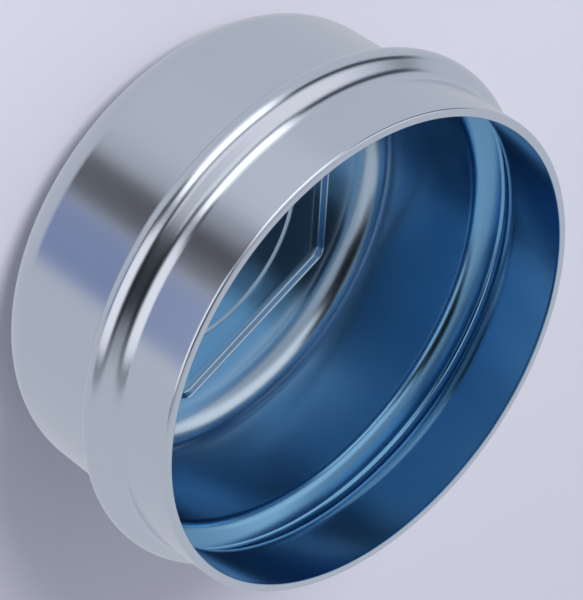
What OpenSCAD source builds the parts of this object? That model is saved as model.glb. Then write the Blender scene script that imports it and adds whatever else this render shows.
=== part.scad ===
// Hub cap drawn from one round blank of steel sheet. It stands on its closed end, open end up.
// The collar above the stop bead is pressed into the bore of a wheel hub, up to the bead.

/* [Sheet] */
// Thickness of the sheet
sheet_t = 1.5; // [1:0.1:1.8]

/* [Collar] */
// Outside diameter of the collar, 0.2 mm over the bore that it is pressed into
collar_d = 85.2; // [84:0.1:87]
// Rounding that the shear leaves on the outer edge of the lip
lip_r = 0.5; // [0.2:0.05:0.8]

/* [Stop bead] */
// Diameter over the crest of the bead
bead_d = 91; // [90:0.1:93]
// Distance from the lip back to the crest
bead_back = 14.6; // [13:0.1:18]
// Outside radius of the crest
crest_r = 2.4; // [2:0.1:3]
// Outside radius of the fillets at the two feet of the bead
foot_r = 1.6; // [1:0.1:2.2]
// Slope of the flank towards the collar, measured from the axis
collar_flank = 47; // [42:1:55]
// Slope of the flank towards the body, measured from the axis
body_flank = 52; // [45:1:60]

/* [Body] */
// Depth from the lip to the outer face of the closed end
depth = 42.5; // [38:0.5:50]
// Outside diameter of the body at the bead
body_d = 82.9; // [81.6:0.1:84]
// Outside diameter of the body at the closed end, without its corner
end_d = 81.6; // [80:0.1:81.6]
// Outside radius of the corner between the wall and the end
corner_r = 6.8; // [4:0.1:8]

/* [Hexagon bead in the end] */
// Distance across the flats, over the middle of the bead
hex_flats = 55; // [46:0.5:55.5]
// Height of the bead over the outer face of the end
hex_h = 1; // [0.7:0.05:1.3]
// Width of the crest outside
hex_crest = 2.3; // [2:0.1:2.8]
// Slope of the flanks, measured from the face of the end
hex_flank = 45; // [35:1:50]
// Rounding of the edges of the bead
hex_edge_r = 0.4; // [0.2:0.05:0.5]

/* [Round step in the end] */
// Diameter of the step, at the middle of its slope
step_d = 42.6; // [30:0.2:44]
// Height of the step
step_h = 0.3; // [0.1:0.05:0.5]
// Inside radius of the two bends that make the step
step_r = 0.5; // [0.3:0.1:1]

/* [Hidden] */

collar_r = collar_d / 2;
rim_z = hex_h + depth;
end_z = hex_h;

// Fineness of the bends and of the turning round the axis
bend_step = 7.5;
round_fn = 144;
// How far the bead's rounded edges run past the flat faces that they cross
lap = 0.002;

// Direction at an angle from the radius, positive towards the lip
function dir(a) = [cos(a), sin(a)];

// The wall line of the body, given by its normal and its distance from the axis' foot
bead_z = rim_z - bead_back;
taper = atan((body_d - end_d) / 2 / (bead_z - end_z));
wall_n = dir(-taper);
wall_at = wall_n * [body_d / 2, bead_z];

// A bend is its centre, its outside radius, negative where the centre lies outside the cap,
// and the directions of the outward normal where it starts and ends.
crest_c = [bead_d / 2 - crest_r, bead_z];

// Foot of the bead on the collar: it touches the collar and the upper flank
upper_n = dir(collar_flank);
upper_at = upper_n * crest_c + crest_r;
upper_foot_r = collar_r + foot_r;
upper_foot_c = [upper_foot_r, (upper_at + foot_r - upper_n[0] * upper_foot_r) / upper_n[1]];

// Foot of the bead on the body: it touches the wall line and the lower flank
lower_n = dir(-body_flank);
lower_at = lower_n * crest_c + crest_r + foot_r;
cross = wall_n[0] * lower_n[1] - wall_n[1] * lower_n[0];
lower_foot_c = [
    ((wall_at + foot_r) * lower_n[1] - lower_at * wall_n[1]) / cross,
    (lower_at * wall_n[0] - (wall_at + foot_r) * lower_n[0]) / cross
];

// Corner of the closed end
corner_z = end_z + corner_r;
corner_c = [(wall_at - corner_r - wall_n[1] * corner_z) / wall_n[0], corner_z];

// Step in the end: two bends that meet at the same slope
step_out_r = step_r + sheet_t;
step_reach = step_r + step_out_r;
step_slope = acos(1 - step_h / step_reach);
step_in_c = [(step_d - step_reach * sin(step_slope)) / 2, end_z - step_h + step_out_r];
step_out_c = step_in_c + step_reach * dir(step_slope - 90);

BENDS = [
    [upper_foot_c, -foot_r, 0, collar_flank],
    [crest_c, crest_r, collar_flank, -body_flank],
    [lower_foot_c, -foot_r, -body_flank, -taper],
    [corner_c, corner_r, -taper, -90],
    [step_out_c, -step_r, -90, step_slope - 90],
    [step_in_c, step_out_r, step_slope - 90, -90]
];

// Points of one bend, at a depth into the sheet from its outer face
function bend_points(b, into) = let (n = ceil(abs(b[3] - b[2]) / bend_step))
    [for (i = [0 : n]) b[0] + (b[1] - into) * dir(b[2] + (b[3] - b[2]) * i / n)];

// The face of the sheet at a depth into it, from the collar's first bend to the axis
function sheet_face(into) = [
    for (b = BENDS) each bend_points(b, into),
    [0, end_z - step_h + into]
];

function reversed(list) = [for (i = [len(list) - 1 : -1 : 0]) list[i]];

// The drawn sheet, turned round the axis
module drawn_shell() {
    lip = bend_points([[collar_r - lip_r, rim_z - lip_r], lip_r, 90, 0], 0);
    rotate_extrude($fn = round_fn)
        polygon(concat(lip, sheet_face(0), reversed(sheet_face(sheet_t)), [[collar_r - sheet_t, rim_z]]));
}

// The hexagon bead's groove inside is narrower than its ridge outside, by the bends of the sheet
groove_crest = hex_crest - 2 * sheet_t * tan(hex_flank / 2);
edge_back = hex_edge_r * tan(hex_flank / 2);

// Where the flank over a crest is, h above it
function flank_at(crest, h) = crest / 2 + h / tan(hex_flank);

// Half of the bead's section, as points of [distance from the bead's middle, height] from the bottom up.
// The rounded edge of a crest whose flat is at the height z
function crest_edge(crest, z) =
    bend_points([[crest / 2 - edge_back, z - lap + hex_edge_r], hex_edge_r, -90, hex_flank - 90], 0);

// The ridge's flank runs on into the middle of the sheet
ridge_h = hex_h + sheet_t / 2;
ridge_side = concat(crest_edge(hex_crest, 0), [[flank_at(hex_crest, ridge_h), ridge_h]]);

// The groove's rounded mouth crosses the inner face, and is open above it
mouth_w = flank_at(groove_crest, hex_h) + edge_back;
mouth_z = sheet_t + hex_h + lap;
groove_side = concat(
    crest_edge(groove_crest, sheet_t),
    bend_points([[mouth_w, mouth_z - hex_edge_r], -hex_edge_r, hex_flank - 90, -90], 0),
    [[mouth_w, mouth_z + sheet_t]]
);

// A six-sided solid whose sides follow a profile of [half width, height] points
module hexagon(profile) {
    intersection_for (k = [0 : 2]) rotate([0, 0, 60 * k + 30]) rotate([90, 0, 0])
        linear_extrude(height = hex_flats * 2, center = true)
            polygon(concat(profile, reversed([for (p = profile) [-p[0], p[1]]])));
}

// A six-sided ring over the height z, with the same side inward and outward of its middle line
module hexagon_ring(side, z) {
    mid = hex_flats / 2;
    foot = [side[0][0], side[0][1] - sheet_t];
    top = side[len(side) - 1];
    difference() {
        intersection() {
            translate([0, 0, z]) cylinder(r = hex_flats, h = hex_h * 4);
            hexagon([for (p = concat([foot], side)) [mid + p[0], p[1]]]);
        }
        hexagon([for (p = concat([foot], side, [top + [0, sheet_t]])) [mid - p[0], p[1]]]);
    }
}

module hub_cap() {
    color([0.68, 0.72, 0.78]) difference() {
        union() {
            drawn_shell();
            hexagon_ring(ridge_side, 0);
        }
        hexagon_ring(groove_side, sheet_t);
    }
}

hub_cap();
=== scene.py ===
"""Hub cap of a wheel, drawn from one sheet of steel and zinc plated, on a pale studio floor.

The cap stands on its closed end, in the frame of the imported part, in metres. Sizes are written in millimetres, as
the part's source has them, and are turned to metres where a mesh is made.
"""

import logging
import math
from dataclasses import dataclass, field
from typing import Any, Sequence

import bmesh
import bpy
from mathutils import Matrix, Vector


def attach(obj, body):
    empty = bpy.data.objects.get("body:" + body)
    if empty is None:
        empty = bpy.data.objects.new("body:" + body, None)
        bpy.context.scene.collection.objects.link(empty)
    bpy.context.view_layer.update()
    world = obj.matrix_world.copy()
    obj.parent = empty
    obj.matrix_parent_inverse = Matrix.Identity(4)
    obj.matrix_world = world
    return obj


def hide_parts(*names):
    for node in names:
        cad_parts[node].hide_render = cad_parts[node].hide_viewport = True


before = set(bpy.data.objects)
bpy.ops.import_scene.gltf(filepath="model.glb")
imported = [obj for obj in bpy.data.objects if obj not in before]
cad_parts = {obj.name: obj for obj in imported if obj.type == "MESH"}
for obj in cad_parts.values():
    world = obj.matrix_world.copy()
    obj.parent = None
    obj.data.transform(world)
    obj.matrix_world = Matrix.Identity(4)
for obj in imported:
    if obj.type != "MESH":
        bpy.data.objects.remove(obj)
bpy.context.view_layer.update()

LOG = logging.getLogger("hub_cap")
MM = 0.001
Pair = tuple[float, float]


def linear(hex_colour: str) -> tuple[float, float, float, float]:
    """Turns an sRGB hex colour into the linear one that a socket takes.

    Args:
        hex_colour: Six hex digits after a hash sign.

    Returns:
        The linear red, green and blue, and an alpha of 1.
    """
    parts = [int(hex_colour[i : i + 2], 16) / 255 for i in (1, 3, 5)]
    red, green, blue = (p / 12.92 if p <= 0.04045 else ((p + 0.055) / 1.055) ** 2.4 for p in parts)
    return red, green, blue, 1.0


def add_node(tree: bpy.types.NodeTree, kind: str, inputs: dict[Any, Any] | None = None, **settings: Any) -> Any:
    """Adds a node with its settings, and gives each named input its value or its link.

    Args:
        tree: The node tree that gets the node.
        kind: The node's type, as Blender names it.
        inputs: For each input, by name or number, the value or the output socket that feeds it.
        **settings: The node's own properties.

    Returns:
        The new node.
    """
    node = tree.nodes.new(kind)
    for name, value in settings.items():
        setattr(node, name, value)
    for key, value in (inputs or {}).items():
        if isinstance(value, bpy.types.NodeSocket):
            tree.links.new(value, node.inputs[key])
        else:
            node.inputs[key].default_value = value
    return node


def direction(degrees: float) -> Pair:
    """The unit vector at an angle from the first axis."""
    return math.cos(math.radians(degrees)), math.sin(math.radians(degrees))


@dataclass(frozen=True)
class Ring:
    """One ring of the sheet, which runs round the axis, in millimetres.

    Attributes:
        radius: Distance from the axis, or from the axis to a side where the ring is six-sided.
        height: Height over the floor.
        hexagon: 1 where the ring is a hexagon and 0 where it is round.
        inside: 1 on the inner face of the sheet and 0 on the outer one.
    """

    radius: float
    height: float
    hexagon: float = 0.0
    inside: float = 0.0


@dataclass(frozen=True)
class Bend:
    """One bend of the sheet, as an arc of its outer face.

    Attributes:
        centre: Radius and height of the arc's centre.
        radius: Outside radius, negative where the centre lies outside the cap.
        start: Direction of the outward normal where the arc starts, in degrees.
        end: Direction of the outward normal where it ends.
    """

    centre: Pair
    radius: float
    start: float
    end: float

    def points(self, into: float, step: float) -> list[Pair]:
        """Points of the arc at a depth into the sheet.

        Args:
            into: Depth from the outer face.
            step: Largest turn between two points, in degrees.

        Returns:
            Radius and height of each point, from the arc's start.
        """
        count = max(2, math.ceil(abs(self.end - self.start) / step))
        reach = self.radius - into
        found = []
        for i in range(count + 1):
            across, up = direction(self.start + (self.end - self.start) * i / count)
            found.append((self.centre[0] + reach * across, self.centre[1] + reach * up))
        return found


@dataclass(frozen=True)
class SheetSection:
    """The cap's section through its axis, in millimetres.

    The collar, the depth, the body, the corner and the step are those of the part's source. The stop bead and the
    hexagon bead are drawn a little closer to the photograph than there, and the crest of the stop bead is 0.02 mm
    lower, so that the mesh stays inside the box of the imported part.
    """

    sheet_t: float = 1.5
    collar_d: float = 85.2
    lip_r: float = 0.5
    bead_d: float = 90.96
    bead_back: float = 14.9
    crest_r: float = 2.6
    foot_r: float = 3.0
    body_foot_r: float = 1.2
    collar_flank: float = 48.0
    body_flank: float = 60.0
    depth: float = 42.5
    body_d: float = 82.9
    end_d: float = 81.6
    corner_r: float = 6.8
    hex_flats: float = 54.6
    hex_h: float = 1.0
    hex_crest: float = 3.5
    hex_flank: float = 60.0
    hex_edge_r: float = 0.4
    hex_foot_r: float = 0.3
    step_d: float = 42.6
    step_h: float = 0.3
    step_r: float = 0.5
    burr: float = 0.12
    fineness: float = 4.5

    @property
    def rim(self) -> float:
        """Height of the lip."""
        return self.hex_h + self.depth

    def wall_bends(self) -> list[Bend]:
        """The bends of the wall from the lip to the flat of the closed end.

        Returns:
            The two feet and the crest of the stop bead, and the corner.
        """
        crest_z = self.rim - self.bead_back
        taper = math.degrees(math.atan((self.body_d - self.end_d) / 2 / (crest_z - self.hex_h)))
        wall = direction(-taper)
        wall_at = wall[0] * self.body_d / 2 + wall[1] * crest_z
        crest = (self.bead_d / 2 - self.crest_r, crest_z)
        upper = direction(self.collar_flank)
        upper_r = self.collar_d / 2 + self.foot_r
        upper_at = upper[0] * crest[0] + upper[1] * crest[1] + self.crest_r + self.foot_r
        lower = direction(-self.body_flank)
        lower_at = lower[0] * crest[0] + lower[1] * crest[1] + self.crest_r + self.body_foot_r
        cross = wall[0] * lower[1] - wall[1] * lower[0]
        lower_foot = (
            ((wall_at + self.body_foot_r) * lower[1] - lower_at * wall[1]) / cross,
            (lower_at * wall[0] - (wall_at + self.body_foot_r) * lower[0]) / cross,
        )
        corner_z = self.hex_h + self.corner_r
        corner = ((wall_at - self.corner_r - wall[1] * corner_z) / wall[0], corner_z)
        return [
            Bend((upper_r, (upper_at - upper[0] * upper_r) / upper[1]), -self.foot_r, 0, self.collar_flank),
            Bend(crest, self.crest_r, self.collar_flank, -self.body_flank),
            Bend(lower_foot, -self.body_foot_r, -self.body_flank, -taper),
            Bend(corner, self.corner_r, -taper, -90),
        ]

    def step_bends(self) -> list[Bend]:
        """The two bends of the round step in the closed end, from its outer edge inward."""
        outside = self.step_r + self.sheet_t
        reach = self.step_r + outside
        slope = math.degrees(math.acos(1 - self.step_h / reach))
        inner = ((self.step_d - reach * direction(slope)[1]) / 2, self.hex_h - self.step_h + outside)
        away = direction(slope - 90)
        outer = (inner[0] + reach * away[0], inner[1] + reach * away[1])
        return [Bend(outer, -self.step_r, -90, slope - 90), Bend(inner, outside, slope - 90, -90)]

    def hexagon_side(self, crest: float, floor: float, foot_r: float) -> list[Pair]:
        """Half of the hexagon bead's section on one face of the sheet.

        Args:
            crest: Width of the crest on that face, without its rounding.
            floor: Height of the crest.
            foot_r: Radius of the bend between the flank and the flat of the end.

        Returns:
            Distance from the bead's middle line and height of each point, from the middle outward.
        """
        back = math.tan(math.radians(self.hex_flank / 2))
        middle = (crest / 2 - self.hex_edge_r * back, floor + self.hex_edge_r)
        edge = Bend(middle, self.hex_edge_r, -90, self.hex_flank - 90)
        mouth = crest / 2 + self.hex_h / math.tan(math.radians(self.hex_flank)) + foot_r * back
        foot = Bend((mouth, floor + self.hex_h - foot_r), -foot_r, self.hex_flank - 90, -90)
        return edge.points(0, self.fineness * 1.8) + foot.points(0, self.fineness * 1.8)

    def face(self, into: float) -> list[Ring]:
        """The rings of one face of the sheet, from the collar to the axis.

        Args:
            into: 0 for the outer face, or the sheet's thickness for the inner one.

        Returns:
            The rings, with more of them beside each bend so that the flats stay flat in the shading.
        """
        inside = 1.0 if into else 0.0
        level = self.hex_h + into
        wall = [b.points(into, self.fineness) for b in self.wall_bends()]
        step = [b.points(into, self.fineness) for b in self.step_bends()]
        narrow = 2 * into * math.tan(math.radians(self.hex_flank / 2))
        side = self.hexagon_side(self.hex_crest - narrow, into, self.hex_edge_r if into else self.hex_foot_r)
        bead = [(self.hex_flats / 2 + d, z, 1.0) for d, z in reversed(side)]
        bead += [(self.hex_flats / 2 - d, z, 1.0) for d, z in side]
        rings = [(self.collar_d / 2 - into, self.rim - self.lip_r - 0.15, 0.0)]
        for points in wall:
            rings += self.supported(rings[-1], [(r, z, 0.0) for r, z in points])
        rings += self.supported(rings[-1], bead)
        low, high = rings[-1][0], step[0][0][0]
        rings += [(low + (high - low) * s, level, 1 - s) for s in (0.3, 0.65)]
        for points in step:
            rings += self.supported(rings[-1], [(r, z, 0.0) for r, z in points])
        centre = rings[-1]
        rings += [(centre[0] * s, centre[1], 0.0) for s in (0.985, 0.7, 0.4, 0.15, 0.0)]
        return [Ring(r, z, m, inside) for r, z, m in rings]

    @staticmethod
    def supported(last: Sequence[float], points: list[tuple[float, float, float]]) -> list[tuple[float, float, float]]:
        """Adds a ring close to each end of the straight run that leads to a bend.

        Args:
            last: The ring before the run.
            points: The bend's own rings.

        Returns:
            The two added rings, if the run is long enough for them, and the bend's.
        """
        first = points[0]
        run = math.dist(last[:2], first[:2])
        if run < 0.5 or last[2] != first[2]:
            return points
        near = min(0.15, run / 4) / run
        ends = [tuple(a + (b - a) * s for a, b in zip(last, first)) for s in (near, 1 - near)]
        return ends + points

    def rings(self) -> list[Ring]:
        """The whole section, from the axis over the outer face and the lip to the axis again."""
        outer = self.face(0.0)
        inner = self.face(self.sheet_t)
        radius = self.collar_d / 2
        shear = Bend((radius - self.lip_r, self.rim - self.lip_r), self.lip_r, 0, 90)
        lip = [Ring(r, z, 0.0, 0.0) for r, z in shear.points(0, 11)]
        edge = radius - self.sheet_t
        lip += [
            Ring(radius - self.lip_r - 0.08, self.rim),
            Ring(edge + self.burr + 0.08, self.rim),
            Ring(edge + self.burr, self.rim, 0.0, 0.3),
            Ring(edge + self.burr * 0.3, self.rim - self.burr * 0.3, 0.0, 0.6),
            Ring(edge, self.rim - self.burr, 0.0, 1.0),
        ]
        return outer[::-1] + lip + inner


@dataclass(frozen=True)
class ZincPassivate:
    """Finish of the cap: bright zinc plate on drawn steel, with a thin blue chromate film. The inner wall's deeper blue
    is partly that film and partly painted reflection.
    """

    outside: str = "#D3DAE4"
    # Inner wall: the film's own blue, made deeper by painted reflection, the blue the wall gets from mirroring itself
    # inside the cup.
    wall: str = "#7FB2D6"
    end: str = "#C3D6E4"
    roughness: float = 0.2

    def build(self) -> bpy.types.Material:
        """Makes the material.

        Returns:
            Zinc plate, blue passivated. It gives the eye a soft mirror: pale and a little blue outside, and deep blue
            on the inner wall, whose colour is partly the film's own tint and partly painted reflection of the wall in
            itself, with fine grain.
        """
        material = bpy.data.materials.new("zinc_plate_blue_passivated")
        material.use_nodes = True
        tree = material.node_tree
        tree.nodes.clear()
        place = add_node(tree, "ShaderNodeTexCoord").outputs["Object"]
        inside = add_node(tree, "ShaderNodeAttribute", attribute_name="inside").outputs["Fac"]
        height = add_node(tree, "ShaderNodeSeparateXYZ", {0: place}).outputs["Z"]
        # Base colour inside: paler on the end, turning to deeper blue on the wall between 5 and 10 mm up; that blue is
        # partly the film's tint and partly painted reflection.
        wall = add_node(
            tree, "ShaderNodeMapRange", {"Value": height, "From Min": 5 * MM, "From Max": 10 * MM}, interpolation_type="SMOOTHSTEP"
        )
        inner = self.mix(tree, wall.outputs[0], linear(self.end), linear(self.wall))
        film_and_painted_reflection = self.mix(tree, inside, linear(self.outside), inner)
        grain = add_node(tree, "ShaderNodeTexNoise", {"Vector": place, "Scale": 2500.0, "Detail": 2.0})
        bump = add_node(tree, "ShaderNodeBump", {"Strength": 0.05, "Distance": 0.1 * MM, "Height": grain.outputs["Fac"]})
        shader = add_node(
            tree,
            "ShaderNodeBsdfPrincipled",
            {"Base Color": film_and_painted_reflection, "Metallic": 1.0, "Roughness": self.roughness, "Normal": bump.outputs[0]},
        )
        add_node(tree, "ShaderNodeOutputMaterial", {"Surface": shader.outputs[0]})
        return material

    @staticmethod
    def mix(tree: bpy.types.NodeTree, factor: Any, first: Any, second: Any) -> bpy.types.NodeSocket:
        """Mixes two colours.

        Args:
            tree: The material's node tree.
            factor: Share of the second colour.
            first: The first colour or its socket.
            second: The second colour or its socket.

        Returns:
            The mixed colour's socket.
        """
        node = add_node(tree, "ShaderNodeMix", {0: factor, 6: first, 7: second}, data_type="RGBA")
        return node.outputs[2]


@dataclass
class DrawnCap:
    """The cap: the section turned round the axis, with the rings of its bead drawn out to a hexagon."""

    section: SheetSection = field(default_factory=SheetSection)
    finish: ZincPassivate = field(default_factory=ZincPassivate)
    columns: int = 336
    crowding: float = 0.6
    hexagon_corner_r: float = 1.0
    least_corner_r: float = 0.08

    def section_object(self) -> bpy.types.Object:
        """Makes the section as a chain of points, with what each ring is as attributes.

        Returns:
            An object whose mesh has one vertex a ring, at its radius along X and its height along Z.
        """
        rings = self.section.rings()
        mesh = bpy.data.meshes.new("section")
        points = [(r.radius * MM, 0.0, r.height * MM) for r in rings]
        mesh.from_pydata(points, [(i, i + 1) for i in range(len(points) - 1)], [])
        for name in ("hexagon", "inside"):
            values = mesh.attributes.new(name, "FLOAT", "POINT")
            values.data.foreach_set("value", [getattr(r, name) for r in rings])
        section = bpy.data.objects.new("section", mesh)
        bpy.context.scene.collection.objects.link(section)
        return section

    def turning_tree(self) -> bpy.types.NodeTree:
        """Builds the node tree that turns a section into the closed sheet.

        Returns:
            A tree that lays a grid over the turn and the section, and sets each point by its ring's rule.
        """
        tree = bpy.data.node_groups.new("turned_sheet", "GeometryNodeTree")
        for name, kind in (
            ("Section", "NodeSocketGeometry"),
            ("Columns", "NodeSocketInt"),
            ("Crowding", "NodeSocketFloat"),
            ("Corner Centre", "NodeSocketFloat"),
            ("Least Corner Radius", "NodeSocketFloat"),
            ("Finish", "NodeSocketMaterial"),
        ):
            tree.interface.new_socket(name=name, in_out="INPUT", socket_type=kind)
        tree.interface.new_socket(name="Sheet", in_out="OUTPUT", socket_type="NodeSocketGeometry")
        given = add_node(tree, "NodeGroupInput").outputs

        def calc(operation: str, *values: Any) -> bpy.types.NodeSocket:
            """One number from others, by the math node's operation of that name."""
            return add_node(tree, "ShaderNodeMath", dict(enumerate(values)), operation=operation).outputs[0]

        rows = add_node(
            tree, "GeometryNodeAttributeDomainSize", {"Geometry": given["Section"]}, component="MESH"
        ).outputs["Point Count"]
        grid = add_node(
            tree,
            "GeometryNodeMeshGrid",
            {"Size X": 1.0, "Size Y": 1.0, "Vertices X": calc("ADD", given["Columns"], 1.0), "Vertices Y": rows},
        )
        index = add_node(tree, "GeometryNodeInputIndex").outputs[0]
        column = calc("FLOOR", calc("DIVIDE", calc("ADD", index, 0.5), rows))
        row = calc("ROUND", calc("SUBTRACT", index, calc("MULTIPLY", column, rows)))
        even = calc("MULTIPLY", calc("DIVIDE", column, given["Columns"]), math.tau)
        crowd = calc("MULTIPLY", calc("SINE", calc("MULTIPLY", even, 6.0)), calc("DIVIDE", given["Crowding"], 6.0))
        turn = calc("SUBTRACT", even, crowd)

        def of_ring(value: bpy.types.NodeSocket, kind: str) -> bpy.types.NodeSocket:
            """A value of the section, read at this point's ring."""
            node = add_node(tree, "GeometryNodeSampleIndex", data_type=kind, domain="POINT")
            tree.links.new(given["Section"], node.inputs["Geometry"])
            tree.links.new(value, node.inputs["Value"])
            tree.links.new(row, node.inputs["Index"])
            return node.outputs[0]

        def named(name: str) -> bpy.types.NodeSocket:
            """A named attribute of the section, read at this point's ring."""
            found = add_node(tree, "GeometryNodeInputNamedAttribute", {"Name": name}, data_type="FLOAT")
            return of_ring(found.outputs["Attribute"], "FLOAT")

        spot = add_node(tree, "GeometryNodeInputPosition").outputs[0]
        ring = add_node(tree, "ShaderNodeSeparateXYZ", {0: of_ring(spot, "FLOAT_VECTOR")}).outputs
        radius, height = ring["X"], ring["Z"]
        cos_30, tan_30 = math.cos(math.pi / 6), math.tan(math.pi / 6)
        aside = calc("ABSOLUTE", calc("SUBTRACT", calc("FLOORED_MODULO", turn, math.pi / 3), math.pi / 6))
        corner_r = calc("MAXIMUM", calc("SUBTRACT", radius, given["Corner Centre"]), given["Least Corner Radius"])
        core = calc("SUBTRACT", radius, corner_r)
        to_centre = calc("DIVIDE", core, cos_30)
        off = calc("SUBTRACT", math.pi / 6, aside)
        half = calc("MULTIPLY", to_centre, calc("SINE", off))
        chord = calc("SUBTRACT", calc("MULTIPLY", corner_r, corner_r), calc("MULTIPLY", half, half))
        arc = calc("ADD", calc("MULTIPLY", to_centre, calc("COSINE", off)), calc("SQRT", calc("MAXIMUM", chord, 0.0)))
        straight = calc("DIVIDE", radius, calc("COSINE", aside))
        bound = calc("ARCTANGENT", calc("DIVIDE", calc("MULTIPLY", core, tan_30), calc("MAXIMUM", radius, 1e-6)))
        share = calc("GREATER_THAN", aside, bound)
        six = calc("ADD", calc("MULTIPLY", share, arc), calc("MULTIPLY", calc("SUBTRACT", 1.0, share), straight))
        reach = calc("ADD", radius, calc("MULTIPLY", named("hexagon"), calc("SUBTRACT", six, radius)))
        place = add_node(
            tree,
            "ShaderNodeCombineXYZ",
            {"X": calc("MULTIPLY", reach, calc("COSINE", turn)), "Y": calc("MULTIPLY", reach, calc("SINE", turn)), "Z": height},
        )
        marked = add_node(
            tree,
            "GeometryNodeStoreNamedAttribute",
            {"Geometry": grid.outputs["Mesh"], "Name": "inside", "Value": named("inside")},
            data_type="FLOAT",
            domain="POINT",
        )
        turned = add_node(tree, "GeometryNodeSetPosition", {"Geometry": marked.outputs[0], "Position": place.outputs[0]})
        closed = add_node(tree, "GeometryNodeMergeByDistance", {"Geometry": turned.outputs[0], "Distance": 1e-6})
        smooth = add_node(tree, "GeometryNodeSetShadeSmooth", {"Geometry": closed.outputs[0]})
        real = add_node(tree, "GeometryNodeRealizeInstances", {"Geometry": smooth.outputs[0]})
        dressed = add_node(tree, "GeometryNodeSetMaterial", {"Geometry": real.outputs[0], "Material": given["Finish"]})
        add_node(tree, "NodeGroupOutput", {"Sheet": dressed.outputs[0]})
        return tree

    def build(self) -> bpy.types.Object:
        """Makes the cap's one piece and puts it in the place of its CAD node.

        Returns:
            The cap, a plain closed mesh at the origin.
        """
        section = self.section_object()
        modifier = section.modifiers.new("turned_sheet", "NODES")
        modifier.node_group = self.turning_tree()
        sizes = {
            "Columns": self.columns,
            "Crowding": self.crowding,
            "Corner Centre": (self.section.hex_flats / 2 - self.hexagon_corner_r) * MM,
            "Least Corner Radius": self.least_corner_r * MM,
            "Finish": self.finish.build(),
        }
        for item in modifier.node_group.interface.items_tree:
            if item.in_out == "INPUT" and item.name in sizes:
                modifier[item.identifier] = sizes[item.name]
        cap = self.plain_mesh(section, "hub_cap_shell")
        bpy.data.objects.remove(section)
        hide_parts("hub_cap")
        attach(cap, "root")
        return cap

    @staticmethod
    def plain_mesh(source: bpy.types.Object, name: str) -> bpy.types.Object:
        """Turns a modified object into a plain one, with its faces outward.

        Args:
            source: The object with its Geometry Nodes modifier.
            name: Name of the new object.

        Returns:
            The new object, linked to the scene.
        """
        graph = bpy.context.evaluated_depsgraph_get()
        mesh = bpy.data.meshes.new_from_object(source.evaluated_get(graph), preserve_all_data_layers=True, depsgraph=graph)
        mesh.name = name
        shell = bmesh.new()
        shell.from_mesh(mesh)
        bmesh.ops.recalc_face_normals(shell, faces=shell.faces)
        LOG.info("%s: open edges %d", name, sum(not e.is_manifold for e in shell.edges))
        shell.to_mesh(mesh)
        shell.free()
        made = bpy.data.objects.new(name, mesh)
        bpy.context.scene.collection.objects.link(made)
        return made


@dataclass(frozen=True)
class StudioSide:
    """One part of the studio round the cap, as the plating mirrors it.

    Attributes:
        azimuth: Middle of the part, in degrees from +X towards +Y.
        half_width: Half of its width in azimuth, in degrees.
        low: Elevation of its lower edge.
        high: Elevation of its upper edge.
        soft: Width of its blurred edges, in degrees.
        colour: Its colour.
        strength: Its brightness.
    """

    azimuth: float
    half_width: float
    low: float
    high: float
    soft: float
    colour: str
    strength: float = 1.0


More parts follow.
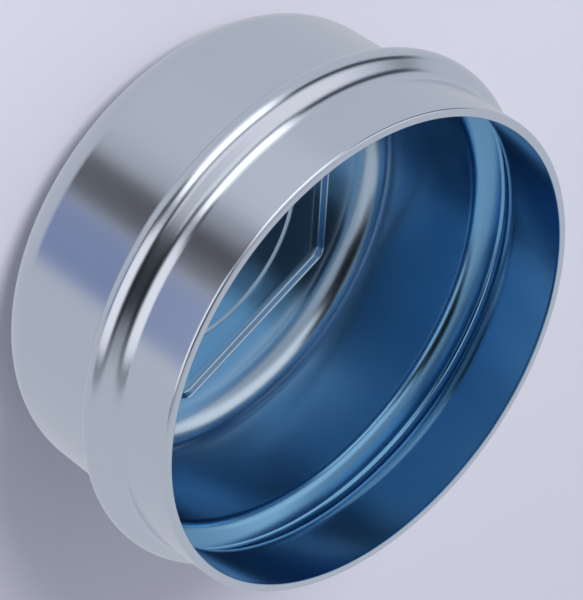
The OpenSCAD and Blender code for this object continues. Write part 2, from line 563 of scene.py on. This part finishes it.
@dataclass
class Studio:
    """The floor, the lamp and the room round the cap."""

    floor_colour: str = "#D2D2DE"
    room: str = "#C9CCD3"
    sides: tuple[StudioSide, ...] = (
        StudioSide(0, 180, 62, 91, 8, "#A8AEB8"),
        StudioSide(-130, 72, 31, 56, 6, "#F8F6FA"),
        StudioSide(-166, 30, 5, 23, 5, "#2C3644"),
        StudioSide(-111, 28, 21, 30, 5, "#7E8494"),
        StudioSide(-76, 14, 24, 42, 6, "#3C414C"),
        StudioSide(-46, 28, 28, 66, 7, "#10151C"),
        StudioSide(-14, 6, -25, 50, 4, "#7B8088"),
        StudioSide(-112, 20, -33, -16, 5, "#F0F4F8"),
        StudioSide(-108, 24, -18, 19, 6, "#FFFFFF", 1.7),
        StudioSide(-45, 25, -31, 22, 5, "#FFFCFF", 1.06),
        StudioSide(-77, 4, -12, 22, 3, "#9393A1"),
        StudioSide(-80, 11, -36, -12, 5, "#4B4D5B"),
        StudioSide(-70, 11, -45, -33, 4, "#1E1715"),
        StudioSide(-41, 16, -45, -33, 4, "#6F82B2"),
    )

    def build_floor(self) -> bpy.types.Object:
        """Makes the floor.

        Returns:
            A wide plane at the height of the cap's foot, which reflections don't see.
        """
        mesh = bpy.data.meshes.new("studio_floor")
        half = 3.0
        mesh.from_pydata([(-half, -half, 0), (half, -half, 0), (half, half, 0), (-half, half, 0)], [], [(0, 1, 2, 3)])
        floor = bpy.data.objects.new("studio_floor", mesh)
        bpy.context.scene.collection.objects.link(floor)
        material = bpy.data.materials.new("matt_paper")
        material.use_nodes = True
        tree = material.node_tree
        tree.nodes.clear()
        shader = add_node(tree, "ShaderNodeBsdfPrincipled", {"Base Color": linear(self.floor_colour), "Roughness": 0.9})
        shader.inputs["Specular IOR Level"].default_value = 0.0
        add_node(tree, "ShaderNodeOutputMaterial", {"Surface": shader.outputs[0]})
        mesh.materials.append(material)
        floor.visible_glossy = False
        return floor

    def build_lamp(self) -> bpy.types.Object:
        """Makes the soft lamp that gives the cap its shadow on the floor.

        Returns:
            The lamp.
        """
        light = bpy.data.lights.new("soft_key", "AREA")
        light.shape = "DISK"
        light.size = 0.5
        light.energy = 9.0
        lamp = bpy.data.objects.new("soft_key", light)
        across, along = direction(-118)
        lamp.location = (across * 0.8, along * 0.8, 0.75)
        lamp.rotation_euler = (-Vector(lamp.location)).to_track_quat("-Z", "Y").to_euler()
        lamp.visible_glossy = False
        bpy.context.scene.collection.objects.link(lamp)
        return lamp

    def build_world(self) -> bpy.types.World:
        """Makes the room, painted by direction.

        Returns:
            The world.
        """
        world = bpy.data.worlds.new("studio_room")
        world.use_nodes = True
        tree = world.node_tree
        tree.nodes.clear()

        def calc(operation: str, *values: Any) -> bpy.types.NodeSocket:
            """One number from others, by the math node's operation of that name."""
            return add_node(tree, "ShaderNodeMath", dict(enumerate(values)), operation=operation).outputs[0]

        def edge(value: Any, low: float, high: float) -> bpy.types.NodeSocket:
            """0 below the low bound, 1 over the high one and smooth between them."""
            bounds = {"Value": value, "From Min": low, "From Max": high}
            return add_node(tree, "ShaderNodeMapRange", bounds, interpolation_type="SMOOTHSTEP").outputs[0]

        towards = add_node(tree, "ShaderNodeTexCoord").outputs["Generated"]
        x, y, z = add_node(tree, "ShaderNodeSeparateXYZ", {0: towards}).outputs
        elevation = calc("MULTIPLY", calc("ARCSINE", z), 180 / math.pi)
        azimuth = calc("MULTIPLY", calc("ARCTAN2", y, x), 180 / math.pi)
        colour = linear(self.room)
        for side in self.sides:
            turn = calc("WRAP", calc("SUBTRACT", azimuth, side.azimuth), 180.0, -180.0)
            across = edge(calc("ABSOLUTE", turn), side.half_width + side.soft, side.half_width - side.soft)
            above = edge(elevation, side.low - side.soft, side.low + side.soft)
            under = edge(elevation, side.high + side.soft, side.high - side.soft)
            share = calc("MULTIPLY", calc("MULTIPLY", above, under), across if side.half_width < 180 else 1.0)
            paint = [c * side.strength for c in linear(side.colour)[:3]] + [1.0]
            colour = add_node(tree, "ShaderNodeMix", {0: share, 6: colour, 7: paint}, data_type="RGBA").outputs[2]
        back = add_node(tree, "ShaderNodeBackground", {"Color": colour, "Strength": 1.0})
        add_node(tree, "ShaderNodeOutputWorld", {"Surface": back.outputs[0]})
        bpy.context.scene.world = world
        return world


@dataclass(frozen=True)
class ProductCamera:
    """The camera, from where the photograph was taken.

    Attributes:
        azimuth: Its direction from the aim, from +X towards +Y, in degrees.
        elevation: Its direction over the floor, in degrees.
        roll: Turn of the picture round the line of sight, in degrees.
        distance: Distance from the aim, in metres.
        aim: The point in the middle of the picture, in millimetres.
        lens: Focal length, for a 36 mm frame.
    """

    azimuth: float = -76.0
    elevation: float = 35.28
    roll: float = 124.57
    distance: float = 0.73796
    aim: tuple[float, float, float] = (2.18, -8.42, 31.21)
    lens: float = 285.07

    def build(self) -> bpy.types.Object:
        """Makes the camera and gives it to the scene."""
        data = bpy.data.cameras.new("product_camera")
        data.lens = self.lens
        data.sensor_width = 36.0
        data.clip_start, data.clip_end = 0.05, 20.0
        across, along = direction(self.azimuth)
        level, rise = direction(self.elevation)
        back = Vector((across * level, along * level, rise))
        camera = bpy.data.objects.new("product_camera", data)
        upright = back.to_track_quat("Z", "Y").to_matrix().to_4x4()
        turned = Matrix.Rotation(math.radians(self.roll), 4, "Z")
        aim = Vector(self.aim) * MM
        camera.matrix_world = Matrix.Translation(aim + back * self.distance) @ upright @ turned
        bpy.context.scene.collection.objects.link(camera)
        bpy.context.scene.camera = camera
        return camera


def main() -> None:
    """Builds the cap, the studio and the camera, and reports each piece."""
    logging.basicConfig(level=logging.INFO, format="%(name)s: %(message)s")
    cap = DrawnCap().build()
    LOG.info("%s: %d faces", cap.name, len(cap.data.polygons))
    studio = Studio()
    LOG.info("floor: %s", studio.build_floor().name)
    LOG.info("lamp: %s", studio.build_lamp().name)
    LOG.info("room: %s", studio.build_world().name)
    LOG.info("camera: %s", ProductCamera().build().name)
    bpy.context.scene.view_settings.view_transform = "Standard"


if __name__ == "__main__":
    main()
